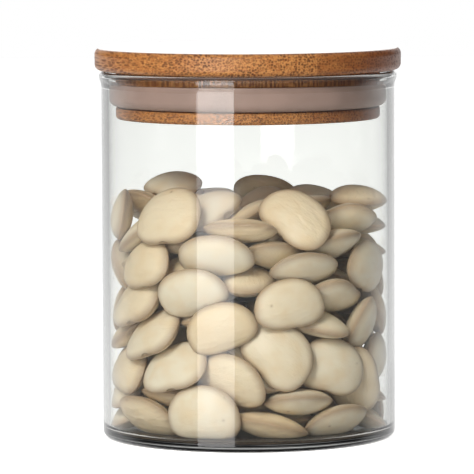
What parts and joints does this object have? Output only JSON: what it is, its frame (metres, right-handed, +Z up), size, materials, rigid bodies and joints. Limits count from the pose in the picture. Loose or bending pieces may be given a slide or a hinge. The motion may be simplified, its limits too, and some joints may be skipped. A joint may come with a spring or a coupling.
{
  "type": "storage jar",
  "caption": "Straight-sided clear glass storage jar closed by a push-in bamboo lid with a silicone seal ring in its plug's groove.",
  "frame": {"origin": "on the jar's axis, at the surface the jar stands on", "axes": "+Z up along the jar's axis, out of its mouth; the jar is round, so +X and +Y are any two square directions, with the bamboo's fibres along Y"},
  "size_m": [0.099, 0.099, 0.126],
  "materials": {
    "clear_glass": "clear, polished",
    "bamboo": "sanded and oiled, satin",
    "silicone": "soft matt, translucent"
  },
  "bodies": {
    "jar": {"glass_jar": "clear_glass"},
    "seal": {"seal_ring": "silicone"},
    "lid": {"lid_plug": "bamboo", "lid_board": "bamboo"}
  },
  "joints": [
    {"name": "lid_lift", "type": "slide", "parent": "jar", "child": "seal", "axis": [0, 0, 1], "range_m": [0, 0.06]},
    {"name": "lid_twist", "type": "hinge", "parent": "seal", "child": "lid", "pos_m": [0, 0, 0.1114], "axis": [0, 0, 1], "continuous": true}
  ]
}
